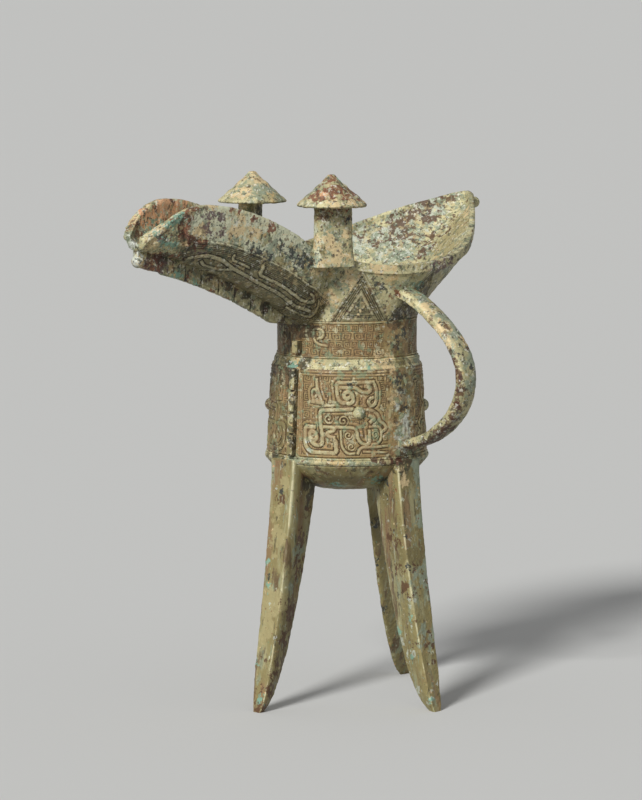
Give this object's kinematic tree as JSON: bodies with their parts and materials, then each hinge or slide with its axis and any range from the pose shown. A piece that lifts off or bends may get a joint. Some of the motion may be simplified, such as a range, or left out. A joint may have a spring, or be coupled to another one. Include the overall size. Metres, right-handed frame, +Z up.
{
  "type": "bronze jue wine vessel",
  "caption": "Three-legged bronze wine cup with a long open spout, pointed tail, capped posts on the rim, a strap handle and a band of raised mask ornament",
  "frame": {"origin": "centre of the footprint of the whole vessel, on the ground under its soles", "axes": "+Z up, +X towards the tail, -X towards the spout, -Y towards the handle"},
  "size_m": [0.1964, 0.102, 0.208],
  "materials": {
    "bronze_olive": "patinated cast bronze, olive and brown",
    "bronze_pale_patina": "cast bronze under a pale green-grey patina",
    "bronze_green_patina": "cast bronze with whitish green patina and brown spots",
    "bronze_red_brown": "cast bronze with red-brown oxide",
    "bronze_dark": "cast bronze with dark blue-green patina"
  },
  "bodies": {
    "root": {"bowl_bottom": "bronze_olive", "belly_wall": "bronze_olive", "neck_wall": "bronze_olive", "tail_flange": "bronze_olive", "leg_spout_side": "bronze_olive", "leg_handle_side": "bronze_olive", "leg_tail_side": "bronze_olive", "base_ridge": "bronze_pale_patina", "shoulder_step": "bronze_pale_patina", "spout_flange": "bronze_pale_patina", "post_near": "bronze_pale_patina", "post_far": "bronze_pale_patina", "cap_far": "bronze_pale_patina", "handle": "bronze_pale_patina", "belly_flange_spout_side": "bronze_pale_patina", "belly_flange_tail_side": "bronze_pale_patina", "belly_flange_plain_side": "bronze_pale_patina", "neck_flange_spout_side": "bronze_pale_patina", "neck_flange_tail_side": "bronze_pale_patina", "neck_flange_plain_side": "bronze_pale_patina", "eye_spout_near": "bronze_pale_patina", "eye_spout_far": "bronze_pale_patina", "eye_tail_near": "bronze_pale_patina", "eye_tail_far": "bronze_pale_patina", "mouth_and_tail": "bronze_green_patina", "tail_knob": "bronze_green_patina", "cap_near": "bronze_red_brown", "spout": "bronze_dark"}
  },
  "joints": []
}
